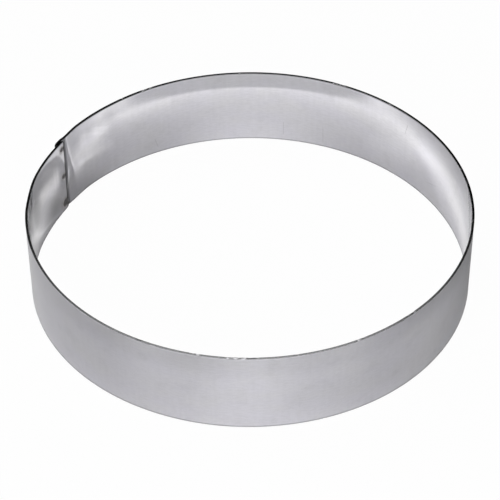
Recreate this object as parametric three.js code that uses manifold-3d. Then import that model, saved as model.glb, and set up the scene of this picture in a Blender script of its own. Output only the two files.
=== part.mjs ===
// A stainless steel cake ring: one strip of sheet, rolled round, with its ends lapped and joined by a row of
// spot welds. Millimetres. The ring's axis is Z, its lower rim lies on z = 0 and its upper rim on z = HEIGHT.

import * as THREE from "three";
import { mergeVertices, toCreasedNormals } from "three/addons/utils/BufferGeometryUtils.js";
import Module from "manifold-3d";

// Driving dimensions, in millimetres
const INNER_DIAMETER = 200; // clear width, the size by which such rings are sold
const HEIGHT = 40; // from rim to rim
const SHEET = 1; // thickness of the strip
const DEBURR = 0.15; // bevel that takes the sharpness off the sheared rims
const CORNER_RADIUS = 1.5; // rounding of the strip's four corners

// The lap, where the outer end of the strip lies over the inner end
const LAP_GAP = 0.3; // air between the lapped faces
const OUTER_LIFT = 0.3; // how far the outer end stands outside the circle
const OUTER_JOGGLE = 4; // length of the bend that lifts the outer end
const INNER_EASE = 25; // length along which the inner end leaves the circle

// The spot welds
const WELD_COUNT = 3;
const WELD_DIAMETER = 2.6;
const WELD_DISH = 0.12; // depth of the hollow that each electrode leaves
const WELD_END_LAND = 1.2; // sheet between a weld and the end of the strip
const WELD_RIM_LAND = 2.7; // sheet between the first or last weld and the rim
const WELD_CLEARANCE = 0.05; // all round a weld, in the holes that it fills

// Where the seam stands, and how finely curves are divided
const SEAM_AZIMUTH = 153; // degrees from +X to the middle of the lap
const LONGEST_FACET = 3.5; // along the strip
const FEWEST_FACETS = 4; // in each bend of the strip, however short
const WELD_SIDES = 24;
const DISH_RINGS = 4;
const CORNER_STEPS = 6;
const CREASE = Math.PI / 6; // sharper edges than this stay crisp when shaded

// What follows from them
const TURN = 2 * Math.PI;
const QUARTER = Math.PI / 2;
const innerRadius = INNER_DIAMETER / 2;
const arc = (length) => length / (innerRadius + SHEET / 2); // the angle that a length of strip takes up
const lapHalf = arc(WELD_DIAMETER / 2 + WELD_END_LAND);
const stack = 2 * SHEET + LAP_GAP; // both ends of the strip and the air between them
const innerDip = SHEET + LAP_GAP - OUTER_LIFT; // how far the inner end is pressed inside the circle
const stackInside = innerRadius - innerDip; // radius of the lap's inside face
const gapMiddle = stackInside + SHEET + LAP_GAP / 2; // radius that parts the two ends

const wasm = await Module();
wasm.setup();

// A closed geometry as a solid that can be cut.
function solidOf(geometry) {
  const bare = geometry.clone();
  bare.deleteAttribute("normal");
  bare.deleteAttribute("uv");
  const merged = mergeVertices(bare);
  return new wasm.Manifold(
    new wasm.Mesh({
      numProp: 3,
      vertProperties: merged.attributes.position.array,
      triVerts: new Uint32Array(merged.index.array),
    }),
  );
}

// A cut solid as a geometry, smooth along its curves.
function geometryOf(solid) {
  const { vertProperties, triVerts } = solid.getMesh();
  const geometry = new THREE.BufferGeometry();
  geometry.setAttribute("position", new THREE.BufferAttribute(vertProperties, 3));
  geometry.setIndex(new THREE.BufferAttribute(triVerts, 1));
  return toCreasedNormals(geometry, CREASE);
}

const steel = (name, color, roughness) =>
  new THREE.MeshStandardMaterial({ name, color, roughness, metalness: 1 });

// How far the strip lies outside the ring's circle, at an angle counted along it from the middle of the lap.
function radialOffset(angle) {
  const onCircle = THREE.MathUtils.smoothstep(angle, lapHalf, lapHalf + arc(INNER_EASE));
  const lifted = THREE.MathUtils.smoothstep(angle, TURN - lapHalf - arc(OUTER_JOGGLE), TURN - lapHalf);
  return OUTER_LIFT * lifted - innerDip * (1 - onCircle);
}

// The angles at which the strip's outline has points: evenly spaced in each bend.
function stations() {
  const innerEnd = -lapHalf;
  const outerEnd = TURN + lapHalf;
  const bends = [
    innerEnd,
    lapHalf,
    lapHalf + arc(INNER_EASE),
    TURN - lapHalf - arc(OUTER_JOGGLE),
    TURN - lapHalf,
    outerEnd,
  ];
  const angles = bends.slice(1).flatMap((end, i) => {
    const start = bends[i];
    const facets = Math.max(FEWEST_FACETS, Math.ceil((end - start) / arc(LONGEST_FACET)));
    return Array.from({ length: facets }, (_, k) => start + ((end - start) * k) / facets);
  });
  return [...angles, outerEnd];
}

// The strip seen from above: along its outside face, then back along its inside face.
function stripOutline() {
  const angles = stations();
  const face = (depth) => (angle) => {
    const radius = innerRadius + radialOffset(angle) + depth;
    return new THREE.Vector2(radius * Math.cos(angle), radius * Math.sin(angle));
  };
  return new THREE.Shape([...angles.map(face(SHEET)), ...angles.toReversed().map(face(0))]);
}

// The strip's corners, as its end (1 outer, -1 inner) and its rim (1 upper, -1 lower), each a quarter turn on.
const corners = [
  { end: 1, rim: 1 },
  { end: -1, rim: 1 },
  { end: -1, rim: -1 },
  { end: 1, rim: -1 },
];

// The waste outside one rounded corner, through its own end of the strip alone.
function cornerWaste({ end, rim }, quarterTurns) {
  const reach = 2 * CORNER_RADIUS; // past the strip's end and its rim
  const outline = new THREE.Shape();
  outline.moveTo(0, CORNER_RADIUS);
  outline.absarc(0, 0, CORNER_RADIUS, QUARTER, 0, true);
  outline.lineTo(reach, 0);
  outline.lineTo(reach, reach);
  outline.lineTo(0, reach);
  const [from, to] = end < 0 ? [stackInside - SHEET, gapMiddle] : [gapMiddle, stackInside + stack + SHEET];
  const waste = new THREE.ExtrudeGeometry(outline, {
    depth: to - from,
    bevelEnabled: false,
    curveSegments: CORNER_STEPS,
  });
  // The outline's first axis goes along the strip, its second up, and its depth outwards.
  waste.applyMatrix4(
    new THREE.Matrix4().makeBasis(
      new THREE.Vector3(0, 1, 0),
      new THREE.Vector3(0, 0, 1),
      new THREE.Vector3(1, 0, 0),
    ),
  );
  waste.rotateX(quarterTurns * QUARTER);
  waste.translate(from, 0, HEIGHT / 2 + rim * (HEIGHT / 2 - CORNER_RADIUS));
  waste.rotateZ(end * (lapHalf - arc(CORNER_RADIUS)));
  return waste;
}

// The heights of the welds' middles, lowest first.
function weldHeights() {
  const lowest = WELD_RIM_LAND + WELD_DIAMETER / 2;
  const pitch = (HEIGHT - 2 * lowest) / (WELD_COUNT - 1);
  return Array.from({ length: WELD_COUNT }, (_, i) => lowest + i * pitch);
}

// A hole through both ends of the strip, for the weld at a height.
function weldHole(height) {
  const hole = new THREE.CylinderGeometry(
    WELD_DIAMETER / 2 + WELD_CLEARANCE,
    WELD_DIAMETER / 2 + WELD_CLEARANCE,
    stack + 2 * SHEET,
    WELD_SIDES,
  );
  hole.rotateZ(-QUARTER);
  hole.translate(stackInside + stack / 2, 0, height);
  return hole;
}

// The strip, rolled, with its corners rounded and pierced where the welds fuse it.
function makeBand() {
  const rolled = new THREE.ExtrudeGeometry(stripOutline(), {
    depth: HEIGHT - 2 * DEBURR,
    bevelThickness: DEBURR,
    bevelSize: DEBURR,
    bevelOffset: -DEBURR,
    bevelSegments: 1,
  });
  rolled.translate(0, 0, DEBURR);
  let band = solidOf(rolled);
  for (const waste of [...corners.map(cornerWaste), ...weldHeights().map(weldHole)]) {
    band = band.subtract(solidOf(waste));
  }
  const mesh = new THREE.Mesh(geometryOf(band), steel("mill_finish", 0xb9babd, 0.28));
  mesh.name = "ring_band";
  return mesh;
}

// One spot weld: the metal fused through both ends of the strip, hollowed at each face by an electrode.
function makeWeld(height, index) {
  const radius = WELD_DIAMETER / 2;
  const hollow = Array.from({ length: DISH_RINGS + 1 }, (_, i) => {
    const share = i / DISH_RINGS;
    return new THREE.Vector2(radius * share, WELD_DISH * (1 - share * share) - stack / 2);
  });
  const mirrored = hollow.map(({ x, y }) => new THREE.Vector2(x, -y)).reverse();
  const slug = new THREE.LatheGeometry([...hollow, ...mirrored], WELD_SIDES);
  slug.rotateZ(-QUARTER);
  const mesh = new THREE.Mesh(slug, steel("heat_tinted", 0x7c7a78, 0.45));
  mesh.name = `weld_spot_${index + 1}`;
  mesh.position.set(stackInside + stack / 2, 0, height);
  return mesh;
}

const cakeRing = new THREE.Group();
cakeRing.name = "cake_ring";
cakeRing.rotation.z = THREE.MathUtils.degToRad(SEAM_AZIMUTH);
cakeRing.add(makeBand(), ...weldHeights().map(makeWeld));

export default cakeRing;
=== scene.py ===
import math

import bpy
import numpy as np
from mathutils import Matrix, Vector


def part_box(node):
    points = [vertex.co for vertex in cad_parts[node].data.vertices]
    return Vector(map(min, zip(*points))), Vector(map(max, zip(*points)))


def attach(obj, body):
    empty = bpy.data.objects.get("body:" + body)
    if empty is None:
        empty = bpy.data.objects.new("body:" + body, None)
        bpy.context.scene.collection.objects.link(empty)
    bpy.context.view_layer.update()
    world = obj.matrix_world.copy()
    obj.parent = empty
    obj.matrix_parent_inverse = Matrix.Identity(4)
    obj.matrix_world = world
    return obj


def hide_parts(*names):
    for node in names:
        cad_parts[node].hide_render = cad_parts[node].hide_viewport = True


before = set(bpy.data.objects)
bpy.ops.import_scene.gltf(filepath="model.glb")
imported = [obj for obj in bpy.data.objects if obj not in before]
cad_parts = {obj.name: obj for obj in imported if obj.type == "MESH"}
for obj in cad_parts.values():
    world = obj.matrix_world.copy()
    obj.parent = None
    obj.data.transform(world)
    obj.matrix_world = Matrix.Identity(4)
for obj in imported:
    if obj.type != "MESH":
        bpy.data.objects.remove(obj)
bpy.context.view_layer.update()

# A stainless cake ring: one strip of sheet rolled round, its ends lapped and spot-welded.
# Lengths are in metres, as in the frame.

MM = 0.001
MICRON = 0.001 * MM
TURN = 2 * math.pi

# The strip, read from the frame where the frame shows it
BAND, WELDS = "ring_band", ("weld_spot_1", "weld_spot_2", "weld_spot_3")
SHEET = 1.0 * MM
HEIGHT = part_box(BAND)[1].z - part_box(BAND)[0].z
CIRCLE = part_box(BAND)[1].x - SHEET             # radius of the inside face, away from the lap
EDGE_ROUNDING = 0.15 * MM                      # of the deburred rims
END_ROUNDING = 0.4 * MM                        # of the strip's two ends, ground so that they don't catch
CORNER_RADIUS = 1.5 * MM                       # of the strip's four corners
BURR = 0.1 * MM                                # how far the rims' burr stands out on each side
WAVE_HEIGHT = 0.06 * MM                        # of the circle's unevenness
WAVE_FINENESS, WAVE_LAYER = 28.0, 1.7          # of the noise that makes it, per metre
WAVE_SPAN = (50 * MM, 90 * MM)                 # from an end, over which the unevenness sets in

# The steps along the strip, ever shorter over a stretch at both ends, and the rows up it
END_STRETCH = 12 * MM
END_STEPS, MIDDLE_STEPS, ROWS = 60, 700, 47
STEP_POWER = 1.5
ROUNDING_STEPS = 4

# The lap and its welds
weld_middles = [sum(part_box(name), Vector()) / 2 for name in WELDS]
SEAM = math.atan2(weld_middles[0].y, weld_middles[0].x)
seam_out = Vector((math.cos(SEAM), math.sin(SEAM), 0))
weld_depths = [seam_out.dot(vertex.co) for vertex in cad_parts[WELDS[0]].data.vertices]
LAP_INSIDE, LAP_OUTSIDE = min(weld_depths), max(weld_depths)
WELD_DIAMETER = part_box(WELDS[0])[1].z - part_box(WELDS[0])[0].z
WELD_LOWEST = weld_middles[0].z
WELD_PITCH = weld_middles[1].z - weld_middles[0].z
WELD_LAND = 1.2 * MM                           # of the lap, on both sides of a weld
LAP = WELD_DIAMETER + 2 * WELD_LAND
LENGTH = TURN * (CIRCLE + SHEET / 2) + LAP     # of the strip, along its middle
INNER_DIP = CIRCLE - LAP_INSIDE
OUTER_LIFT = LAP_OUTSIDE - SHEET - CIRCLE
LOWEST_GROWTH = 1.6                            # the lowest weld was made hotter, and is larger
DENT_DEPTH, DENT_RADIUS = 0.2 * MM, 2.4 * MM   # of an electrode's dent
DENT_FLAT = 0.4                                # share of its radius that is flat
# How deep the electrode pressed a weld's face, in mm, at shares of its radius, and how rough it is
WELD_FACE = ((0.0, 0.13), (0.35, 0.14), (0.65, 0.10), (0.85, 0.13), (1.0, 0.19))
WELD_RELIEF, WELD_FINENESS = 0.05, 1500.0
WELD_SIDES, WELD_RINGS = 40, 9

# How far each end leaves the circle, as shares of the dip and of the lift, at lengths in mm from the
# edge of the lap that shows inside
INNER_BEND = (
    (0, 0.918), (1.5, 0.963), (3, 0.993), (4.5, 0.999), (6, 0.986), (9, 0.927), (12, 0.859), (14, 0.815),
    (16, 0.772), (18, 0.726), (20, 0.676), (22.5, 0.607), (25, 0.526), (28, 0.415), (31, 0.324),
    (34.5, 0.279), (38, 0.276), (42, 0.276), (46, 0.232), (51, 0.09), (54, 0.018), (56, 0.0), (60, 0.0),
)
OUTER_BEND = (
    (0, 1.0), (1, 0.2), (2, -0.387), (3, -0.637), (4, -0.755), (5, -0.769), (6, -0.702), (7, -0.573),
    (8.5, -0.329), (10, -0.095), (12, 0.153), (14, 0.309), (16, 0.398), (19, 0.467), (22, 0.469),
    (26, 0.375), (30, 0.229), (34, 0.094), (37, 0.026), (40, 0.0), (44, 0.0),
)
# How much further out the upper rim is than the lower one near each end, in the same shares and lengths
INNER_TWIST = (
    (0, -0.205), (3, -0.139), (6, -0.083), (9, -0.041), (12, 0.004), (16, 0.088), (20, 0.171), (25, 0.224),
    (31, 0.194), (36, 0.099), (41, -0.012), (46, -0.08), (50, -0.076), (55, -0.03), (60, 0.0), (64, 0.0),
)
OUTER_TWIST = (
    (0, 0.184), (2, 0.18), (4, 0.312), (6, 0.647), (8.5, 1.033), (11, 1.012), (13.5, 0.69), (16, 0.299),
    (20, -0.073), (25, -0.157), (30, -0.064), (37, 0.003), (45, 0.0), (49, 0.0),
)

# Nicks in the rims: how fine they are along a rim, from rim to rim and across the sheet
NICK_FINENESS = (420.0, 9.0, 900.0)
NICK_DEPTH = 0.12 * MM
NICK_LEVEL, NICK_EDGE = 0.68, 0.08             # of the noise, where a nick begins, and how soft its edge is
WORN_LOWERING = 0.24                           # of that level in the worn places
WORN_CORE, WORN_REACH = 0.4, 0.9               # shares of a worn place's length: fully worn, and not worn
# Places on the upper rim that are worn bright, and their lengths: azimuths in degrees, lengths in mm
WORN_RIM = ((-103.2, 3), (-95.3, 3), (-91.5, 5), (-62.7, 3), (-47.4, 3), (64, 6), (120, 4))

# Faces that look this far out or in take a face's finish, this many roundings away from the ends
FACING, FROM_END = 0.9, 2.0
# The folds that are shaded crisp: where a rounding begins, give or take, and any that is squarer
ROUNDING_FOLD, FOLD_LEEWAY, SQUARE_FOLD = math.radians(11.25), math.radians(4), math.radians(40)

# Spans of a noise pattern, from its low places to its high ones
WIDE_SPAN, MIDDLE_SPAN, CLOSE_SPAN = (0.25, 0.75), (0.3, 0.7), (0.35, 0.65)

# The rolled grain: how fine it is along the strip and up it, per metre, and its detail
GRAIN = {"Lines": ((300.0, 1300.0), 3.0), "Streaks": ((620.0, 45.0), 2.0), "Clouds": ((35.0, 60.0), 2.0)}
GRAIN_ROUGHNESS, GRAIN_LAYERS = 0.6, 4.0       # of the noise, and how far apart its patterns are taken

# Smudges, and hair scratches along the borders of slanted cells
SMUDGE_FINENESS, SMUDGE_LAYER, SMUDGE_DETAIL, SMUDGE_SPAN = (90.0, 130.0), 2.0, 4.0, (0.5, 0.75)
HAIR_CELLS, HAIR_SLANT = 90.0, 70.0
HAIR_WIDTH, HAIR_STRENGTH = (0.002, 0.008), 0.25
HAIR_RUNS, HAIR_LAYER, HAIR_SPAN = (160.0, 160.0), 6.0, (0.6, 0.68)

# Scratches on the inside: the azimuths and heights of their two ends, in degrees and mm
SCRATCHES = (
    ((80.2, 11.7), (80.2, 2.9)), ((68.6, 12.6), (68.5, 2.0)), ((40.7, 34.7), (41.8, 27.2)),
    ((32.8, 8.7), (26.6, 12.5)), ((118, 9), (117, 3)), ((250, 30), (252, 12)), ((300, 25), (312, 22)),
)
SCRATCH_WIDTH = (0.1 * MM, 0.3 * MM)           # from its line: full, and gone
SCRATCH_LENGTH = (0.35, 0.5)                   # shares of it from its middle: full, and gone

# The colours that a weld's heat leaves, at shares of its reach
HEAT_REACH = 3.2 * MM
HEAT_COLOURS = (
    (0.0, (0.36, 0.36, 0.37)), (0.36, (0.46, 0.45, 0.45)), (0.46, (0.68, 0.66, 0.64)),
    (0.65, (0.90, 0.89, 0.87)), (1.0, (1.0, 1.0, 1.0)),
)
BURNT_SPAN, BURNT_ROUGHNESS = (0.25, 0.8), 0.15

# The two faces: their roughness, and how uneven it is
BRIGHT_INSIDE, SATIN_OUTSIDE = (0.045, 0.015), (0.14, 0.04)
COOL_STEEL = (0.615, 0.608, 0.652, 1)
WARM_STEEL = (0.620, 0.614, 0.644, 1)
# How much each pattern changes the steel's tone, and how high it stands in thousandths of a millimetre
STREAK_TONE, LINE_TONE, SMUDGE_TONE, SCRATCH_TONE = 0.01, 0.03, 0.05, 0.12
STREAK_HEIGHT, LINE_HEIGHT, SCRATCH_DEPTH = 0.7, 0.25, 2.0
# Painted shade: where it is full, where it has gone, and the share of the tone that it leaves
END_SHADE = (0.8 * MM, 1.5 * MM, 0.3)
CORNER_SHADE = (1.7 * MM, 2.7 * MM, 0.4)
FOOT_SHADE = (0.3 * MM, 0.9 * MM, 0.6)
# The painted shade on the inside below the upper rim: where it begins and is full, and its tone at lengths
# from the tip
RIM_SHADE_BEGINS, RIM_SHADE_FULL = 0.8 * MM, 0.3 * MM
RIM_SHADE_SPAN, RIM_SHADE_TONES = (30 * MM, 90 * MM), (0.1, 0.4)
# Where the steel below the rim is darker: where this begins, is full, fades and ends, as azimuths in degrees,
# and how much darker it is
INSIDE_DARKENING = (-15, 5, 28, 48, 0.32)
OUTSIDE_DARKENING = (-56, -40, -26, -14, 0.16)
DARKENING_HEIGHT = 12 * MM                         # from the rim to where it has gone
SEAM_SHADE_AZIMUTH = 158.7                          # of the painted shade at the foot beside the lap, in degrees
SEAM_SHADE_HEIGHT, SEAM_SHADE_REACH, SEAM_SHADE_TONE = 7.5 * MM, 13 * MM, 0.62

# The cut edges, their dark colours partly painted shade
EDGE_DARK, EDGE_LIGHT = (0.02, 0.02, 0.021, 1), (0.06, 0.06, 0.062, 1)
# The right's colour is a painted shade, and the worn colour also serves as a painted sheen at the front
EDGE_RIGHT_SHADE, EDGE_WORN_AND_SHEEN = (0.005, 0.005, 0.005, 1), (0.72, 0.72, 0.74, 1)
# The edges' painted shade where the ends lap, and the length over which it fades
EDGE_LAP_SHADE, EDGE_LAP_SHADE_FADE = (0.015, 0.015, 0.016, 1), 1.5 * MM
RIGHT_SHADE_SHARE, FRONT_SHEEN_SHARE = 0.7, 0.3            # how far the colour goes to the painted shade on the right, and to the painted sheen at the front
EDGE_LINES, EDGE_ROUGHNESS, EDGE_RELIEF = 2400.0, (0.2, 0.32), 0.002 * MM
PATCH_FINENESS, PATCH_ROW, PATCH_DETAIL, PATCH_SPAN = 120.0, 3.0, 3.0, (0.35, 0.7)

# The welds' faces
SCALE_DARK, SCALE_LIGHT = (0.30, 0.29, 0.285, 1), (0.48, 0.47, 0.465, 1)
SCALE_FINENESS, SCALE_DETAIL = 1800.0, 3.0
SCALE_ROUGHNESS, SCALE_RELIEF = (0.32, 0.5), 0.02 * MM

# The camera, fitted to the photograph's rim and base
CAMERA_SENSOR = 36
CAMERA_LENS = 141.13
CAMERA_DISTANCE = 0.8973
CAMERA_ELEVATION = math.radians(40.516)
CAMERA_TILT = math.radians(0.378)              # below the ring's middle, which stands above the picture's
CAMERA_ROLL = math.radians(-0.272)

# The light
KEY_PLACE = Vector((-0.002, -0.58, 0.668))     # just above the camera
KEY_SIZE = 0.05
KEY_POWER = 2.08
SOFTBOXES = {                                  # azimuth and elevation in degrees, size and power
    "left_softbox": (-130, 30, 0.7, 5.4),
    "back_left_softbox": (150, 45, 0.7, 2.8),
    "back_softbox": (90, 60, 0.7, 2.3),
}
SOFTBOX_DISTANCE = 1.3
SWEEP_LIGHT = 0.1                              # share of its white that the sweep lights the steel with
SWEEP_TOP = (0.15, 0.35)                       # sines of the elevations between which it darkens
CEILING = 0.05
FLOOR_REACH = 4.0
FLOOR_WHITE = 0.8
FLOOR_SHOWN_WHITE = 0.98                       # share of plain white in what the camera sees of the floor
POOLS_OF_LIGHT = (                             # soft pools on the floor: middle, half-widths in mm, strength
    (0, 0, 80, 400, 0.20),
    (0, 0, 35, 400, 0.06),
    (40, -130, 180, 95, 0.20),
    (120, -60, 80, 80, 0.10),
    (-75, -114, 40, 32, 0.10),
    (70, -117, 36, 30, 0.07),
    (0, 95, 60, 25, 0.13),
    (65, 45, 60, 60, 0.05),
    (-65, 79, 44, 18, 0.13),
    (50, 67, 22, 15, 0.12),
    (0, 160, 220, 110, 0.25),
    (-140, 95, 80, 60, 0.15),
)

# The light that the steel throws on the floor
STEEL_BRIGHTNESS = 0.7                         # share of the key lamp's light that the steel throws back
THROWN_MAPS = (                                # of the floor on each side of the steel: cell size and count
    ("inside", -1, 0.4 * MM, 506),
    ("outside", 1, 1.0 * MM, 340),
)
THROWN_BLUR = 0.3 * MM                         # as the lamp's own size softens thrown light
BLUR_REACH = 3                                 # blur widths that are counted
THROWN_PARTS = 8                               # that each cell of the steel is split in, each way
THROWN_LEAST = 0.005                           # fainter light isn't kept
THROWN_LIFT = 0.1 * MM
THROWN_COLOUR = (1.0, 0.995, 0.96, 1)
ON_FACE = 0.49                                 # share of the sheet from its middle, past which a face lies


class Nodes:
    """Writes a node tree as plain calls, each of which adds a node and gives one of its outputs."""

    def __init__(self, tree):
        self.tree = tree

    def feed(self, socket, value):
        """Joins another node's output to an input, or sets the input's value."""
        if isinstance(value, bpy.types.NodeSocket):
            self.tree.links.new(value, socket)
        else:
            socket.default_value = value

    def add(self, kind, inputs=None, out=None, **settings):
        """Adds a node, and gives the output that is named, or else the first one."""
        node = self.tree.nodes.new(kind)
        for name, value in settings.items():
            setattr(node, name, value)
        named = {}
        for socket in node.inputs:
            if socket.enabled:
                named.setdefault(socket.name, socket)
        for key, value in (inputs or {}).items():
            self.feed(node.inputs[key] if isinstance(key, int) else named[key], value)
        outputs = [socket for socket in node.outputs if socket.enabled]
        if out:
            return next(socket for socket in outputs if socket.name == out)
        return outputs[0] if outputs else node

    def group(self, tree, **values):
        """Places a node group, and gives its outputs by name."""
        node = self.tree.nodes.new("ShaderNodeGroup")
        node.node_tree = tree
        for label, value in values.items():
            self.feed(node.inputs[label.replace("_", " ")], value)
        return node.outputs

    def calc(self, operation, *values):
        return self.add("ShaderNodeMath", dict(enumerate(values)), operation=operation)

    def product(self, first, *others):
        for other in others:
            first = self.calc("MULTIPLY", first, other)
        return first

    def distance(self, x, y):
        return self.calc("SQRT", self.calc("ADD", self.calc("POWER", x, 2.0), self.calc("POWER", y, 2.0)))

    def ease(self, value, start, end, low=0.0, high=1.0, smooth=True):
        """Goes from low to high as the value goes from start to end."""
        inputs = {"Value": value, "From Min": start, "From Max": end, "To Min": low, "To Max": high}
        kind = "SMOOTHSTEP" if smooth else "LINEAR"
        return self.add("ShaderNodeMapRange", inputs, interpolation_type=kind, clamp=True)

    def drawn(self, value, points):
        """Follows a smooth line drawn through points, each a place and a height."""
        places, heights = zip(*points)
        low, high = min(heights), max(heights)
        node = self.tree.nodes.new("ShaderNodeFloatCurve")
        node.mapping.extend = "HORIZONTAL"
        line = node.mapping.curves[0].points
        for place, height in points:
            share = (place - places[0]) / (places[-1] - places[0]), (height - low) / (high - low)
            if place == places[0]:
                line[0].location = share
            elif place == places[-1]:
                line[len(line) - 1].location = share
            else:
                line.new(*share)
        node.mapping.update()
        self.feed(node.inputs["Value"], self.ease(value, places[0], places[-1], smooth=False))
        return self.calc("MULTIPLY_ADD", node.outputs["Value"], high - low, low)

    def join(self, x, y, z):
        return self.add("ShaderNodeCombineXYZ", {"X": x, "Y": y, "Z": z})

    def part(self, vector, axis):
        return self.add("ShaderNodeSeparateXYZ", {"Vector": vector}, out=axis)

    def noise(self, vector, scale=1.0, detail=2.0, roughness=0.5):
        inputs = {"Vector": vector, "Scale": scale, "Detail": detail, "Roughness": roughness}
        return self.add("ShaderNodeTexNoise", inputs)

    def pattern(self, place, fineness, layer, detail=2.0, roughness=0.5):
        """Noise on the strip's map, as fine along the strip and up it as given."""
        along, up = (self.calc("MULTIPLY", self.part(place, axis), scale)
                     for axis, scale in zip("XY", fineness))
        return self.noise(self.join(along, up, layer), detail=detail, roughness=roughness)

    def blend(self, share, first, second, way="MIX"):
        inputs = {"Factor": share, "A": first, "B": second}
        return self.add("ShaderNodeMix", inputs, data_type="RGBA", blend_type=way)

    def attribute(self, name):
        """A value that a mesh carries, read in its material."""
        return self.add("ShaderNodeAttribute", out="Fac", attribute_name=name)

    def stored(self, name):
        """A value that this geometry tree has stored."""
        return self.add("GeometryNodeInputNamedAttribute", {"Name": name}, data_type="FLOAT")

    def store(self, geometry, name, value, kind="FLOAT", domain="POINT"):
        inputs = {"Geometry": geometry, "Name": name, "Value": value}
        return self.add("GeometryNodeStoreNamedAttribute", inputs, data_type=kind, domain=domain)

    def vector(self, operation, *values):
        return self.add("ShaderNodeVectorMath", dict(enumerate(values)), operation=operation)

    def moved(self, geometry, direction, length):
        """Moves points along a direction by a length."""
        offset = self.add("ShaderNodeVectorMath", {0: direction, "Scale": length}, operation="SCALE")
        return self.add("GeometryNodeSetPosition", {"Geometry": geometry, "Offset": offset})


def new_tree(name, kind, inputs, outputs):
    """A node group with named sockets: the tree, a writer for it, and its inputs by name."""
    tree = bpy.data.node_groups.new(name, kind)
    for way, sockets in (("INPUT", inputs), ("OUTPUT", outputs)):
        for label, socket_type in sockets.items():
            tree.interface.new_socket(label, in_out=way, socket_type="NodeSocket" + socket_type)
    source = tree.nodes.new("NodeGroupInput")
    return tree, Nodes(tree), {label: source.outputs[label] for label in inputs}


def put_out(nodes, **results):
    """Joins a group's results to its output sockets, named with spaces for underscores."""
    sink = nodes.tree.nodes.new("NodeGroupOutput")
    for label, socket in results.items():
        nodes.feed(sink.inputs[label.replace("_", " ")], socket)


def sockets_for(sizes):
    """The kind of input socket that each size of a geometry tree needs."""
    kinds = {float: "Float", int: "Int", bpy.types.Material: "Material"}
    return {label: kinds[type(value)] for label, value in sizes.items()}


def grow(name, tree, sizes):
    """Runs a geometry tree with its sizes, and keeps what it makes as a plain mesh."""
    piece = bpy.data.objects.new(name, bpy.data.meshes.new(name))
    bpy.context.scene.collection.objects.link(piece)
    modifier = piece.modifiers.new(tree.name, "NODES")
    modifier.node_group = tree
    for socket in tree.interface.items_tree:
        if socket.in_out == "INPUT" and socket.name in sizes:
            modifier[socket.identifier] = sizes[socket.name]
    graph = bpy.context.evaluated_depsgraph_get()
    grown = piece.evaluated_get(graph)
    mesh = bpy.data.meshes.new_from_object(grown, preserve_all_data_layers=True, depsgraph=graph)
    piece.modifiers.remove(modifier)
    piece.data = mesh
    return piece


def place_along(azimuth):
    """The length along the strip, from its inner end, at an azimuth in degrees."""
    turned = (math.radians(azimuth) - SEAM) % TURN
    return turned * (CIRCLE + SHEET / 2) + LAP / 2


# Finishes

def new_material(name):
    material = bpy.data.materials.new(name)
    material.use_nodes = True
    material.node_tree.nodes.clear()
    return material, Nodes(material.node_tree)


def surface(nodes, shader):
    nodes.add("ShaderNodeOutputMaterial", {"Surface": shader})


def bare_metal(n, colour, rough, height, relief):
    """Ends a material as bare metal, with a fine relief of the height that is given."""
    normal = n.add("ShaderNodeBump", {"Height": height, "Distance": relief})
    surface(n, n.add("ShaderNodeBsdfPrincipled", {
        "Base Color": colour, "Metallic": 1.0, "Roughness": rough, "Normal": normal}))


def rolled_grain():
    """Fine lines along the strip from the mill's rolls, faint marks across it, and broad cloudy patches."""
    tree, n, size = new_tree("rolled_grain", "ShaderNodeTree", {"Place": "Vector"},
                             dict.fromkeys(GRAIN, "Float"))
    patterns = {}
    for number, (label, (fineness, detail)) in enumerate(GRAIN.items()):
        patterns[label] = n.pattern(size["Place"], fineness, number * GRAIN_LAYERS, detail, GRAIN_ROUGHNESS)
    put_out(n, **patterns)
    return tree


def handling_marks():
    """Soft smudges and hair-thin scratches, as use and stacking leave them."""
    tree, n, size = new_tree("handling_marks", "ShaderNodeTree", {"Place": "Vector"},
                             {"Smudge": "Float", "Scratch": "Float"})
    place = size["Place"]
    smudge = n.ease(n.pattern(place, SMUDGE_FINENESS, SMUDGE_LAYER, SMUDGE_DETAIL), *SMUDGE_SPAN)
    # Hair scratches: the thin borders of stretched cells, broken up so that only short runs show
    along, up = n.part(place, "X"), n.part(place, "Y")
    slanted = n.calc("MULTIPLY_ADD", up, HAIR_SLANT, n.calc("MULTIPLY", along, HAIR_CELLS))
    cells = n.join(slanted, n.calc("MULTIPLY", up, HAIR_CELLS), 0.0)
    border = n.add("ShaderNodeTexVoronoi", {"Vector": cells, "Scale": 1.0}, feature="DISTANCE_TO_EDGE")
    runs = n.ease(n.pattern(place, HAIR_RUNS, HAIR_LAYER), *HAIR_SPAN)
    hair = n.calc("MULTIPLY", n.ease(border, *HAIR_WIDTH, HAIR_STRENGTH, 0.0), runs)
    put_out(n, Smudge=smudge, Scratch=hair)
    return tree


def heat_tint():
    """The colours that a weld's heat leaves round it, by the distance from its middle."""
    tree, n, size = new_tree("heat_tint", "ShaderNodeTree", {"Distance": "Float"},
                             {"Colour": "Color", "Burnt": "Float"})
    reach = n.ease(size["Distance"], 0.0, HEAT_REACH, smooth=False)
    ramp = n.tree.nodes.new("ShaderNodeValToRGB")
    stops = ramp.color_ramp.elements
    while len(stops) < len(HEAT_COLOURS):
        stops.new(0.5)
    for stop, (place, colour) in zip(stops, HEAT_COLOURS):
        stop.position = place
        stop.color = (*colour, 1)
    n.feed(ramp.inputs[0], reach)
    burnt = n.ease(reach, *BURNT_SPAN, 1.0, 0.0)
    put_out(n, Colour=ramp.outputs[0], Burnt=burnt)
    return tree


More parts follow.
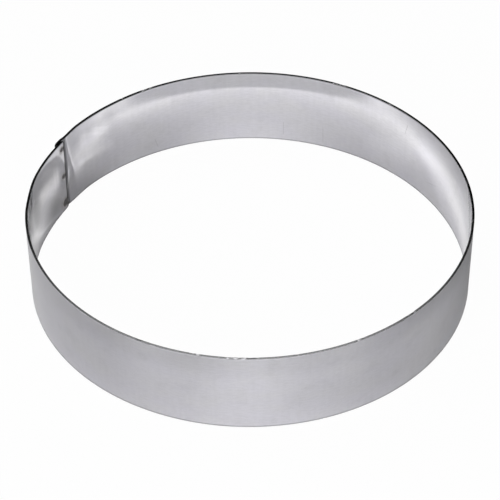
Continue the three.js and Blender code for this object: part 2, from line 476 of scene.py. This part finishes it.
def scratch_mask(n, place):
    """The few scratches that show from a step away, each a straight thin line on the strip's map."""
    mask = 0.0
    for (azimuth, height), (end_azimuth, end_height) in SCRATCHES:
        start = Vector((place_along(azimuth), height * MM, 0))
        run = Vector((place_along(end_azimuth), end_height * MM, 0)) - start
        across = Vector((-run.y, run.x, 0)).normalized()
        from_start = n.vector("SUBTRACT", place, start)
        beside = n.vector("DOT_PRODUCT", from_start, across)
        along = n.vector("DOT_PRODUCT", from_start, run.normalized())
        from_middle = n.calc("ABSOLUTE", n.calc("SUBTRACT", along, run.length / 2))
        thin = n.ease(n.calc("ABSOLUTE", beside), *SCRATCH_WIDTH, 1.0, 0.0)
        within = n.ease(from_middle, *(run.length * share for share in SCRATCH_LENGTH), 1.0, 0.0)
        mask = n.calc("MAXIMUM", mask, n.calc("MULTIPLY", thin, within))
    return mask


def face_finish(name, groups, roughness, unevenness, inside):
    """The steel of one face of the strip, as rolled: grain, marks of use, painted shade and the welds' heat.
    """
    material, n = new_material(name)
    place = n.add("ShaderNodeUVMap", uv_map="strip")
    along, up = n.part(place, "X"), n.part(place, "Y")
    grain = n.group(groups["grain"], Place=place)
    marks = n.group(groups["marks"], Place=place)
    heat = n.group(groups["heat"], Distance=n.attribute("weld_distance"))
    scratch = marks["Scratch"]
    if inside:
        scratch = n.calc("MAXIMUM", scratch, scratch_mask(n, place))

    tone = n.calc("ADD", n.ease(grain["Streaks"], *MIDDLE_SPAN, 1 - STREAK_TONE, 1 + STREAK_TONE),
                  n.ease(grain["Lines"], *MIDDLE_SPAN, -LINE_TONE, LINE_TONE))
    tone = n.calc("MULTIPLY_ADD", marks["Smudge"], -SMUDGE_TONE, tone)
    tone = n.calc("MULTIPLY_ADD", scratch, -SCRATCH_TONE, tone)
    # Painted shade darkens the end of the sheet that shows on this face, the corner beside it, and the foot
    # where it stands
    from_tip = n.calc("SUBTRACT", LENGTH, along)
    shown_end, other_end = (along, from_tip) if inside else (from_tip, along)
    past_lap = n.calc("SUBTRACT", other_end, LAP)
    for value, (full, gone, left) in ((shown_end, END_SHADE), (past_lap, CORNER_SHADE), (up, FOOT_SHADE)):
        tone = n.product(tone, n.ease(value, full, gone, left, 1.0))
    # The steel is darker below the upper rim in one place on each face
    *places, darkness = INSIDE_DARKENING if inside else OUTSIDE_DARKENING
    begins, full, fades, ends = (place_along(azimuth) for azimuth in places)
    darker_below_rim = n.product(n.ease(along, begins, full), n.ease(along, fades, ends, 1.0, 0.0),
                      n.ease(up, HEIGHT - DARKENING_HEIGHT, HEIGHT, 0.0, darkness))
    tone = n.product(tone, n.calc("SUBTRACT", 1.0, darker_below_rim))
    if inside:
        # Painted shade darkens the steel just below the upper rim
        rim_shade = n.ease(from_tip, *RIM_SHADE_SPAN, *RIM_SHADE_TONES)
        below = n.ease(up, HEIGHT - RIM_SHADE_BEGINS, HEIGHT - RIM_SHADE_FULL, 1.0, rim_shade)
        # Painted shade darkens the foot of the sheet beside the lap
        beside = n.calc("DIVIDE", n.calc("SUBTRACT", along, place_along(SEAM_SHADE_AZIMUTH)), SEAM_SHADE_REACH)
        above = n.calc("DIVIDE", n.calc("SUBTRACT", up, SEAM_SHADE_HEIGHT), SEAM_SHADE_REACH)
        seam_shade = n.ease(n.distance(beside, above), 0.0, 1.0, SEAM_SHADE_TONE, 1.0)
        tone = n.product(tone, below, seam_shade)
    colour = n.blend(n.ease(grain["Clouds"], *CLOSE_SPAN), COOL_STEEL, WARM_STEEL)
    colour = n.blend(1.0, colour, n.join(tone, tone, tone), "MULTIPLY")
    colour = n.blend(1.0, colour, heat["Colour"], "MULTIPLY")

    rough = n.ease(grain["Lines"], *WIDE_SPAN, roughness - unevenness, roughness + unevenness)
    rough = n.calc("MULTIPLY_ADD", marks["Smudge"], unevenness, rough)
    rough = n.calc("MULTIPLY_ADD", heat["Burnt"], BURNT_ROUGHNESS, rough)
    height = n.calc("MULTIPLY", grain["Streaks"], STREAK_HEIGHT)
    height = n.calc("MULTIPLY_ADD", grain["Lines"], LINE_HEIGHT, height)
    height = n.calc("MULTIPLY_ADD", scratch, -SCRATCH_DEPTH, height)
    bare_metal(n, colour, rough, height, MICRON)
    return material


def sheared_edge():
    """The strip's cut edges: dark, partly as sheared steel is and partly painted shade, with fine lines
    across them and bright worn places.
    """
    material, n = new_material("sheared_edge")
    along = n.part(n.add("ShaderNodeUVMap", uv_map="strip"), "X")
    lines = n.noise(n.join(n.calc("MULTIPLY", along, EDGE_LINES), 0.0, 0.0))
    patches = n.noise(n.join(n.calc("MULTIPLY", along, PATCH_FINENESS), PATCH_ROW, 0.0), detail=PATCH_DETAIL)
    colour = n.blend(n.ease(patches, *PATCH_SPAN), EDGE_DARK, EDGE_LIGHT)
    # Painted shade darkens the rims towards the right, and a painted sheen lightens them towards the front
    place = n.add("ShaderNodeTexCoord", out="Object")
    right, back = n.part(place, "X"), n.part(place, "Y")
    colour = n.blend(n.ease(right, -CIRCLE, CIRCLE, 0.0, RIGHT_SHADE_SHARE), colour, EDGE_RIGHT_SHADE)
    colour = n.blend(n.ease(back, -CIRCLE, 0.0, FRONT_SHEEN_SHARE, 0.0), colour, EDGE_WORN_AND_SHEEN)
    # Painted shade darkens the edges at both ends of the strip, where they lap
    to_end = n.calc("MINIMUM", along, n.calc("SUBTRACT", LENGTH, along))
    colour = n.blend(n.ease(to_end, LAP, LAP + EDGE_LAP_SHADE_FADE), EDGE_LAP_SHADE, colour)
    colour = n.blend(n.attribute("worn"), colour, EDGE_WORN_AND_SHEEN)
    bare_metal(n, colour, n.ease(lines, *MIDDLE_SPAN, *EDGE_ROUGHNESS), lines, EDGE_RELIEF)
    return material


def weld_metal(groups):
    """A spot weld's pressed face: dull grey, darker in rings and speckled with scale."""
    material, n = new_material("heat_tinted_weld")
    heat = n.group(groups["heat"], Distance=n.attribute("weld_distance"))
    place = n.add("ShaderNodeTexCoord", out="Object")
    speckle = n.noise(place, SCALE_FINENESS, detail=SCALE_DETAIL)
    colour = n.blend(n.ease(speckle, *CLOSE_SPAN), SCALE_DARK, SCALE_LIGHT)
    colour = n.blend(1.0, colour, heat["Colour"], "MULTIPLY")
    bare_metal(n, colour, n.ease(speckle, *MIDDLE_SPAN, *SCALE_ROUGHNESS), speckle, SCALE_RELIEF)
    return material


# The rolled strip

def steps_along(n, size, length):
    """The number of points along the strip, and the length at each: closer to both ends, and even between."""
    index = n.add("GeometryNodeInputIndex")
    first = size["End Steps"]
    second = n.calc("ADD", first, size["Middle Steps"])
    last = n.calc("ADD", second, first)
    between = n.calc("MULTIPLY_ADD", size["End Stretch"], -2.0, length)
    start = n.calc("POWER", n.ease(index, 0.0, first, smooth=False), STEP_POWER)
    middle = n.ease(index, first, second, smooth=False)
    left = n.calc("POWER", n.ease(index, second, last, 1.0, 0.0, smooth=False), STEP_POWER)
    ends = n.calc("MULTIPLY", size["End Stretch"], n.calc("ADD", start, n.calc("SUBTRACT", 1.0, left)))
    return n.calc("ADD", last, 1.0), n.calc("MULTIPLY_ADD", between, middle, ends)


def section_line(n, size):
    """The strip's section: a thin rectangle with rounded corners, and rows of points up its long sides."""
    section = n.add("GeometryNodeCurvePrimitiveQuadrilateral",
                    {"Width": size["Sheet"], "Height": size["Height"]})
    rounding = {"Curve": section, "Radius": size["Edge Rounding"], "Count": ROUNDING_STEPS}
    section = n.add("GeometryNodeFilletCurve", rounding, mode="POLY")
    position = n.add("GeometryNodeInputPosition")
    following = n.add("GeometryNodeOffsetPointInCurve", {"Offset": 1}, out="Point Index")
    next_place = n.add("GeometryNodeFieldAtIndex", {"Value": position, "Index": following},
                       data_type="FLOAT_VECTOR")
    long_side = n.calc("GREATER_THAN", n.vector("DISTANCE", position, next_place), size["Sheet"])
    cuts = n.calc("MULTIPLY", long_side, size["Rows"])
    section = n.add("GeometryNodeSubdivideCurve", {"Curve": section, "Cuts": cuts})
    return n.store(section, "depth", n.part(position, "X"))


def strip_tree(sizes):
    """A strip of sheet rolled round: its section follows a circle that leaves itself at the lap."""
    tree, n, size = new_tree("rolled_strip", "GeometryNodeTree", sockets_for(sizes), {"Geometry": "Geometry"})
    middle_radius = n.calc("MULTIPLY_ADD", size["Sheet"], 0.5, size["Circle Radius"])
    length = n.calc("MULTIPLY_ADD", middle_radius, TURN, size["Lap"])
    count, along = steps_along(n, size, length)
    line = n.add("GeometryNodeMeshLine", {"Count": count})
    path = n.add("GeometryNodeMeshToCurve", {"Mesh": line})
    path = n.store(path, "along", along)
    along = n.stored("along")
    to_tip = n.calc("SUBTRACT", length, along)
    to_end = n.calc("MINIMUM", along, to_tip)
    past_lap = n.calc("SUBTRACT", to_tip, size["Lap"])

    def sprung(inner, outer):
        """How far both ends are off the circle, by lines drawn in shares of the dip and of the lift."""
        inner_line = n.drawn(along, [(place * MM, share) for place, share in inner])
        outer_line = n.drawn(past_lap, [(place * MM, share) for place, share in outer])
        return n.calc("ADD", n.calc("MULTIPLY", size["Inner Dip"], inner_line),
                      n.calc("MULTIPLY", size["Outer Lift"], outer_line))

    # The circle, a little uneven, with the inner end pressed in and the outer end bent out over it
    bend = sprung([(place, -share) for place, share in INNER_BEND], OUTER_BEND)
    wave = n.noise(n.join(n.calc("MULTIPLY", along, WAVE_FINENESS), WAVE_LAYER, 0.0), detail=1.0)
    wave = n.calc("MULTIPLY", n.calc("SUBTRACT", wave, 0.5), n.ease(to_end, *WAVE_SPAN))
    radius = n.calc("ADD", n.calc("MULTIPLY_ADD", size["Wave Height"], wave, middle_radius), bend)
    from_middle = n.calc("MULTIPLY_ADD", size["Lap"], -0.5, along)
    angle = n.calc("ADD", n.calc("DIVIDE", from_middle, middle_radius), size["Seam Azimuth"])
    half = n.calc("MULTIPLY", size["Height"], 0.5)
    place = n.join(n.calc("MULTIPLY", radius, n.calc("COSINE", angle)),
                   n.calc("MULTIPLY", radius, n.calc("SINE", angle)), half)
    path = n.add("GeometryNodeSetPosition", {"Geometry": path, "Position": place})
    path = n.add("GeometryNodeSetCurveNormal", {"Curve": path}, mode="Z_UP")
    swept = {"Curve": path, "Profile Curve": section_line(n, size), "Fill Caps": True}
    band = n.add("GeometryNodeCurveToMesh", swept)

    # The corners at both ends are rounded, so the section is lower there, and the ends are ground thinner
    position = n.add("GeometryNodeInputPosition")
    x, y, z = (n.part(position, axis) for axis in "XYZ")
    outward = n.vector("NORMALIZE", n.join(x, y, 0.0))
    depth = n.stored("depth")

    def lost_at_end(rounding):
        within = n.calc("MAXIMUM", n.calc("SUBTRACT", rounding, to_end), 0.0)
        squared = n.calc("SUBTRACT", n.calc("POWER", rounding, 2.0), n.calc("POWER", within, 2.0))
        return n.calc("SUBTRACT", rounding, n.calc("SQRT", squared))

    share = n.calc("SUBTRACT", 1.0, n.calc("DIVIDE", lost_at_end(size["Corner Radius"]), half))
    level = n.calc("MULTIPLY_ADD", n.calc("SUBTRACT", z, half), share, half)
    band = n.add("GeometryNodeSetPosition", {"Geometry": band, "Position": n.join(x, y, level)})
    thinner = n.calc("DIVIDE", lost_at_end(size["End Rounding"]), n.calc("MULTIPLY", size["Sheet"], -0.5))
    band = n.moved(band, outward, n.calc("MULTIPLY", depth, thinner))
    lean = n.calc("SUBTRACT", n.calc("DIVIDE", z, size["Height"]), 0.5)
    band = n.moved(band, outward, n.calc("MULTIPLY", lean, sprung(INNER_TWIST, OUTER_TWIST)))

    # Each electrode has pressed a shallow dent round its weld
    from_weld = n.calc("SUBTRACT", to_end, n.calc("MULTIPLY", size["Lap"], 0.5))
    half_pitch = n.calc("MULTIPLY", size["Weld Pitch"], 0.5)
    from_lowest = n.calc("SUBTRACT", z, size["Weld Lowest"])
    up = n.calc("WRAP", from_lowest, half_pitch, n.calc("MULTIPLY", half_pitch, -1.0))
    lowest = n.calc("LESS_THAN", z, n.calc("ADD", size["Weld Lowest"], half_pitch))
    growth = n.calc("MULTIPLY_ADD", lowest, n.calc("SUBTRACT", size["Lowest Growth"], 1.0), 1.0)
    band = n.store(band, "weld_distance", n.calc("DIVIDE", n.distance(from_weld, up), growth))
    inner_end = n.calc("LESS_THAN", along, n.calc("MULTIPLY", length, 0.5))
    pressed_face = n.calc("COMPARE", inner_end, n.calc("LESS_THAN", depth, 0.0), 0.5)
    way = n.calc("MULTIPLY_ADD", inner_end, 2.0, -1.0)
    flat = n.calc("MULTIPLY", size["Dent Radius"], DENT_FLAT)
    pressed = n.ease(n.stored("weld_distance"), flat, size["Dent Radius"], size["Dent Depth"], 0.0)
    band = n.moved(band, outward, n.product(pressed, pressed_face, way))

    # The rims are nicked, most of all in a few worn places on the upper one
    spots = 0.0
    for azimuth, run in WORN_RIM:
        beside = n.calc("ABSOLUTE", n.calc("SUBTRACT", along, place_along(azimuth)))
        spot = n.ease(beside, WORN_CORE * run * MM, WORN_REACH * run * MM, 1.0, 0.0)
        spots = n.calc("MAXIMUM", spots, spot)
    upper = n.calc("GREATER_THAN", z, half)
    from_rim = n.calc("SUBTRACT", half, n.calc("ABSOLUTE", n.calc("SUBTRACT", z, half)))
    on_rim = n.ease(from_rim, 0.0, size["Edge Rounding"], 1.0, 0.0)
    nick_place = zip((along, upper, depth), NICK_FINENESS)
    nicks = n.noise(n.join(*(n.calc("MULTIPLY", value, scale) for value, scale in nick_place)), detail=1.0)
    gate = n.calc("MULTIPLY_ADD", n.calc("MULTIPLY", spots, upper), -WORN_LOWERING, NICK_LEVEL)
    nicked = n.ease(nicks, gate, n.calc("ADD", gate, NICK_EDGE))
    band = n.store(band, "worn", n.calc("MULTIPLY", nicked, on_rim))
    downward = n.calc("MULTIPLY_ADD", upper, -2.0, 1.0)
    band = n.moved(band, (0, 0, 1), n.product(size["Nick Depth"], n.stored("worn"), downward))
    # Shearing has left a low burr along the rims, which is pressed flat at the lap
    past_ends = n.ease(to_end, size["Lap"], n.calc("MULTIPLY", size["Lap"], 2.0))
    burr = n.calc("MULTIPLY", n.calc("DIVIDE", depth, size["Sheet"]), n.calc("MULTIPLY", size["Burr"], 2.0))
    band = n.moved(band, outward, n.product(on_rim, past_ends, burr))

    # A map that follows the strip, smooth faces with crisp edges, and a finish for each side
    band = n.store(band, "strip", n.join(along, z, 0.0), kind="FLOAT2", domain="CORNER")
    band = n.add("GeometryNodeSetShadeSmooth", {"Geometry": band, "Shade Smooth": True})
    away_from_end = n.calc("GREATER_THAN", to_end, n.calc("MULTIPLY", size["End Rounding"], FROM_END))
    fold = n.add("GeometryNodeInputMeshEdgeAngle")
    begins = n.calc("COMPARE", fold, ROUNDING_FOLD, FOLD_LEEWAY)
    mid_height = n.calc("GREATER_THAN", from_rim, n.calc("MULTIPLY", size["Edge Rounding"], 0.5))
    square = n.calc("GREATER_THAN", fold, SQUARE_FOLD)
    crisp = n.calc("MAXIMUM", n.product(begins, mid_height, away_from_end), square)
    band = n.add("GeometryNodeSetShadeSmooth", {"Geometry": band, "Selection": crisp, "Shade Smooth": False},
                 domain="EDGE")
    faces = n.vector("DOT_PRODUCT", n.add("GeometryNodeInputNormal"), outward)
    inward_side = n.calc("MULTIPLY", n.calc("LESS_THAN", faces, -FACING), away_from_end)
    outward_side = n.calc("MULTIPLY", n.calc("GREATER_THAN", faces, FACING), away_from_end)
    band = n.add("GeometryNodeRealizeInstances", {"Geometry": band})
    band = n.add("GeometryNodeSetMaterial", {"Geometry": band, "Material": size["Edge Finish"]})
    for selection, label in ((inward_side, "Inside Finish"), (outward_side, "Outside Finish")):
        band = n.add("GeometryNodeSetMaterial",
                     {"Geometry": band, "Selection": selection, "Material": size[label]})
    put_out(n, Geometry=band)
    return tree


def make_strip(groups):
    sizes = {
        "Circle Radius": CIRCLE, "Height": HEIGHT, "Sheet": SHEET, "Edge Rounding": EDGE_ROUNDING,
        "End Rounding": END_ROUNDING, "Corner Radius": CORNER_RADIUS, "Lap": LAP, "Inner Dip": INNER_DIP,
        "Outer Lift": OUTER_LIFT, "Seam Azimuth": SEAM, "Wave Height": WAVE_HEIGHT, "Nick Depth": NICK_DEPTH,
        "Burr": BURR, "Weld Lowest": WELD_LOWEST, "Weld Pitch": WELD_PITCH, "Lowest Growth": LOWEST_GROWTH,
        "Dent Depth": DENT_DEPTH, "Dent Radius": DENT_RADIUS, "End Stretch": END_STRETCH,
        "End Steps": END_STEPS, "Middle Steps": MIDDLE_STEPS, "Rows": ROWS,
        "Inside Finish": face_finish("bright_inside", groups, *BRIGHT_INSIDE, True),
        "Outside Finish": face_finish("satin_outside", groups, *SATIN_OUTSIDE, False),
        "Edge Finish": sheared_edge(),
    }
    return grow("rolled_strip", strip_tree(sizes), sizes)


# The spot welds

def weld_tree(sizes):
    """One spot weld, a plug through both sheets with a pressed face at each end, repeated up the lap."""
    tree, n, size = new_tree("spot_welds", "GeometryNodeTree", sockets_for(sizes), {"Geometry": "Geometry"})
    radius = n.calc("MULTIPLY", size["Diameter"], 0.5)
    depth = n.calc("SUBTRACT", size["Outside Radius"], size["Inside Radius"])
    plug_sizes = {"Vertices": WELD_SIDES, "Side Segments": 1, "Fill Segments": WELD_RINGS,
                  "Radius": radius, "Depth": depth}
    plug = n.add("GeometryNodeMeshCylinder", plug_sizes, fill_type="TRIANGLE_FAN")
    position = n.add("GeometryNodeInputPosition")
    x, y, z = (n.part(position, axis) for axis in "XYZ")
    plug = n.store(plug, "weld_distance", n.distance(x, y))
    pressed = n.drawn(n.calc("DIVIDE", n.stored("weld_distance"), radius), WELD_FACE)
    rough = n.calc("SUBTRACT", n.noise(position, WELD_FINENESS), 0.5)
    pressed = n.calc("MULTIPLY", n.calc("MULTIPLY_ADD", rough, WELD_RELIEF, pressed), MM)
    into = n.calc("MULTIPLY", n.calc("SIGN", z), -1.0)
    plug = n.moved(plug, (0, 0, 1), n.calc("MULTIPLY", pressed, into))
    plug = n.add("GeometryNodeSetShadeSmooth", {"Geometry": plug, "Shade Smooth": True})

    middle = n.calc("MULTIPLY", n.calc("ADD", size["Inside Radius"], size["Outside Radius"]), 0.5)
    start = n.join(n.calc("MULTIPLY", middle, n.calc("COSINE", size["Seam Azimuth"])),
                   n.calc("MULTIPLY", middle, n.calc("SINE", size["Seam Azimuth"])), size["Lowest"])
    row = n.add("GeometryNodeMeshLine", {"Count": size["Count"], "Start Location": start,
                                         "Offset": n.join(0.0, 0.0, size["Pitch"])})
    index = n.add("GeometryNodeInputIndex")
    growth = n.ease(index, 0.0, 1.0, size["Lowest Growth"], 1.0, smooth=False)
    turn = n.add("FunctionNodeEulerToRotation", {"Euler": n.join(0.0, math.pi / 2, size["Seam Azimuth"])})
    welds = n.add("GeometryNodeInstanceOnPoints", {"Points": row, "Instance": plug, "Rotation": turn,
                                                   "Scale": n.join(growth, growth, 1.0)})
    welds = n.add("GeometryNodeRealizeInstances", {"Geometry": welds})
    welds = n.add("GeometryNodeSetMaterial", {"Geometry": welds, "Material": size["Finish"]})
    put_out(n, Geometry=welds)
    return tree


def make_welds(groups):
    sizes = {
        "Diameter": WELD_DIAMETER, "Inside Radius": LAP_INSIDE, "Outside Radius": LAP_OUTSIDE,
        "Lowest": WELD_LOWEST, "Pitch": WELD_PITCH, "Count": len(WELDS), "Lowest Growth": LOWEST_GROWTH,
        "Seam Azimuth": SEAM, "Finish": weld_metal(groups),
    }
    return grow("spot_welds", weld_tree(sizes), sizes)


# The stage

def make_floor():
    floor = bpy.data.objects.new("floor", bpy.data.meshes.new("floor"))
    corners = ((-1, -1), (1, -1), (1, 1), (-1, 1))
    floor.data.from_pydata([(x * FLOOR_REACH, y * FLOOR_REACH, 0) for x, y in corners], [], [(0, 1, 2, 3)])
    bpy.context.scene.collection.objects.link(floor)
    material, nodes = new_material("pale_floor")
    lit = nodes.add("ShaderNodeBsdfDiffuse", {"Color": (FLOOR_WHITE, FLOOR_WHITE, FLOOR_WHITE, 1)})
    white = nodes.add("ShaderNodeEmission", {"Color": (1, 1, 1, 1), "Strength": 1.0})
    seen = nodes.add("ShaderNodeLightPath", out="Is Camera Ray")
    share = nodes.calc("MULTIPLY", seen, FLOOR_SHOWN_WHITE)
    shown = nodes.add("ShaderNodeMixShader", {0: share, 1: lit, 2: white})
    # Mirrors also show the pools of light
    place = nodes.add("ShaderNodeTexCoord", out="Object")
    x, y = nodes.part(place, "X"), nodes.part(place, "Y")

    def from_middle(value, middle, half):
        """How far a value is from a pool's middle, as a share of its half-width."""
        return nodes.ease(value, (middle - half) * MM, (middle + half) * MM, -1.0, 1.0, smooth=False)

    pools = 0.0
    for middle_x, middle_y, half_x, half_y, strength in POOLS_OF_LIGHT:
        away = nodes.distance(from_middle(x, middle_x, half_x), from_middle(y, middle_y, half_y))
        pools = nodes.calc("ADD", pools, nodes.ease(away, 0.0, 1.0, strength, 0.0))
    mirrored = nodes.add("ShaderNodeLightPath", out="Is Glossy Ray")
    pools = nodes.calc("MULTIPLY", pools, mirrored)
    glow = nodes.add("ShaderNodeEmission", {"Color": (1, 1, 1, 1), "Strength": pools})
    surface(nodes, nodes.add("ShaderNodeAddShader", {0: shown, 1: glow}))
    floor.data.materials.append(material)


def face_grid(strip, side):
    """The points of the strip's inside (-1) or outside (1) face, in rows along it and up it."""
    mesh = strip.data
    count = len(mesh.vertices)
    places, along, depth = np.empty(count * 3), np.empty(count), np.empty(count)
    mesh.vertices.foreach_get("co", places)
    mesh.attributes["along"].data.foreach_get("value", along)
    mesh.attributes["depth"].data.foreach_get("value", depth)
    ring = np.count_nonzero(along == along[0])
    on_face = side * depth[:ring] > ON_FACE * SHEET
    face = places.reshape(-1, ring, 3)[:, on_face]
    order = np.argsort(face[len(face) // 2, :, 2])
    # The sheet's other end hides the last of this face
    bare = along[::ring] < along.max() - LAP if side < 0 else along[::ring] > LAP
    return face[bare][:, order]


def thrown_by(face, side):
    """Where the points of a face throw the key lamp's light on the floor, and the power of each."""
    facing = side * np.cross(np.gradient(face, axis=0), np.gradient(face, axis=1))
    area = np.linalg.norm(facing, axis=2)
    facing /= area[..., None]
    to_lamp = np.array(KEY_PLACE) - face
    reach = np.linalg.norm(to_lamp, axis=2)
    to_lamp /= reach[..., None]
    faced = np.maximum((to_lamp * facing).sum(2), 0)
    thrown = 2 * faced[..., None] * facing - to_lamp
    landing = face - thrown * (face[..., 2] / thrown[..., 2])[..., None]
    power = KEY_POWER / math.pi * faced / reach**2 * area * STEEL_BRIGHTNESS
    if side < 0:
        # The light comes in over the rim
        level = to_lamp[..., :2]
        across = -2 * (face[..., :2] * level).sum(2) / (level**2).sum(2)
        power[face[..., 2] + across * to_lamp[..., 2] < HEIGHT] = 0
    return landing[..., :2], power


def softened(light, width):
    """A map of light, blurred by a width in cells."""
    reach = math.ceil(BLUR_REACH * width)
    shares = np.exp(-0.5 * (np.arange(-reach, reach + 1) / width) ** 2)
    for axis in (0, 1):
        light = np.apply_along_axis(np.convolve, axis, light, shares / shares.sum(), mode="same")
    return light


def between(grid, share, share_up):
    """The values of a grid at a share of the way along each of its cells, and a share of the way up."""
    line = grid[:-1] + share * (grid[1:] - grid[:-1])
    return (line[:, :-1] + share_up * (line[:, 1:] - line[:, :-1])).ravel()


def gathered(landing, power, cell, count):
    """Thrown light gathered on a square map of cells, in watts per square metre."""
    reach = cell * count / 2
    light = np.zeros((count, count))
    grids = landing[..., 0], landing[..., 1], power
    shares = (np.arange(THROWN_PARTS) + 0.5) / THROWN_PARTS
    for share in shares:
        for share_up in shares:
            x, y, weights = (between(grid, share, share_up) for grid in grids)
            light += np.histogram2d(x, y, count, [[-reach, reach], [-reach, reach]], weights=weights)[0]
    return softened(light / (THROWN_PARTS * cell) ** 2, THROWN_BLUR / cell)


def make_thrown_light(strip):
    """The light that the steel throws on the floor, as sheets that only mirrors show."""
    for name, side, cell, count in THROWN_MAPS:
        light = gathered(*thrown_by(face_grid(strip, side), side), cell, count)
        places = (np.arange(count) + 0.5 - count / 2) * cell
        x, y = np.meshgrid(places, places, indexing="ij")
        light[side * (np.hypot(x, y) - CIRCLE) < 0] = 0
        points = np.stack([x, y, np.full_like(x, THROWN_LIFT)], 2).reshape(-1, 3)
        index = np.arange(count * count).reshape(count, count)
        corners = index[:-1, :-1], index[1:, :-1], index[1:, 1:], index[:-1, 1:]
        faces = np.stack(corners, 2).reshape(-1, 4)
        faces = faces[light.ravel()[faces].max(1) > THROWN_LEAST]
        mesh = bpy.data.meshes.new("light_thrown_" + name)
        mesh.from_pydata(points.tolist(), [], faces.tolist())
        glow = light * FLOOR_WHITE / math.pi
        mesh.attributes.new("glow", "FLOAT", "POINT").data.foreach_set("value", glow.ravel())
        sheet = bpy.data.objects.new(mesh.name, mesh)
        bpy.context.scene.collection.objects.link(sheet)
        sheet.visible_camera = False
        sheet.visible_diffuse = False
        sheet.visible_shadow = False
        material, nodes = new_material(mesh.name)
        strength = nodes.attribute("glow")
        lit = nodes.add("ShaderNodeEmission", {"Color": THROWN_COLOUR, "Strength": strength})
        clear = nodes.add("ShaderNodeBsdfTransparent")
        surface(nodes, nodes.add("ShaderNodeAddShader", {0: lit, 1: clear}))
        mesh.materials.append(material)


def make_lamp(name, place, size, power):
    """A round lamp that shines on the foot of the ring's axis."""
    lamp = bpy.data.lights.new(name, "AREA")
    lamp.shape = "DISK"
    lamp.size = size
    lamp.energy = power
    stand = bpy.data.objects.new(name, lamp)
    bpy.context.scene.collection.objects.link(stand)
    aim = (-place).to_track_quat("-Z", "Y").to_matrix().to_4x4()
    stand.matrix_world = Matrix.Translation(place) @ aim


def make_lamps():
    make_lamp("key_lamp", KEY_PLACE, KEY_SIZE, KEY_POWER)
    for name, (azimuth, elevation, size, power) in SOFTBOXES.items():
        turn = Matrix.Rotation(math.radians(azimuth), 3, "Z")
        rise = Matrix.Rotation(-math.radians(elevation), 3, "Y")
        make_lamp(name, turn @ rise @ Vector((SOFTBOX_DISTANCE, 0, 0)), size, power)


def make_world():
    """A white sweep up to a low height, and a dark ceiling above it."""
    world = bpy.data.worlds.new("studio")
    bpy.context.scene.world = world
    world.use_nodes = True
    world.node_tree.nodes.clear()
    nodes = Nodes(world.node_tree)
    up = nodes.part(nodes.add("ShaderNodeTexCoord", out="Generated"), "Z")
    seen = nodes.add("ShaderNodeLightPath", out="Is Camera Ray")
    level = nodes.product(nodes.ease(up, *SWEEP_TOP, 1.0, CEILING),
                          nodes.ease(seen, 0.0, 1.0, SWEEP_LIGHT, 1.0))
    nodes.add("ShaderNodeOutputWorld", {"Surface": nodes.add("ShaderNodeBackground", {"Strength": level})})


def make_camera():
    camera = bpy.data.cameras.new("camera")
    camera.lens = CAMERA_LENS
    camera.sensor_width = CAMERA_SENSOR
    stand = bpy.data.objects.new("camera", camera)
    bpy.context.scene.collection.objects.link(stand)
    back = Vector((0, -math.cos(CAMERA_ELEVATION), math.sin(CAMERA_ELEVATION)))
    place = Vector((0, 0, HEIGHT / 2)) + CAMERA_DISTANCE * back
    tilt = math.pi / 2 - CAMERA_ELEVATION - CAMERA_TILT
    turn = Matrix.Rotation(tilt, 4, "X") @ Matrix.Rotation(CAMERA_ROLL, 4, "Z")
    stand.matrix_world = Matrix.Translation(place) @ turn
    bpy.context.scene.camera = stand


shared_groups = {"grain": rolled_grain(), "marks": handling_marks(), "heat": heat_tint()}

strip = make_strip(shared_groups)
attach(strip, "root")
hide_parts(BAND)

welds = make_welds(shared_groups)
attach(welds, "root")
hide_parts(*WELDS)

make_camera()
make_world()
make_floor()
make_lamps()
make_thrown_light(strip)
bpy.context.scene.view_settings.view_transform = "Standard"
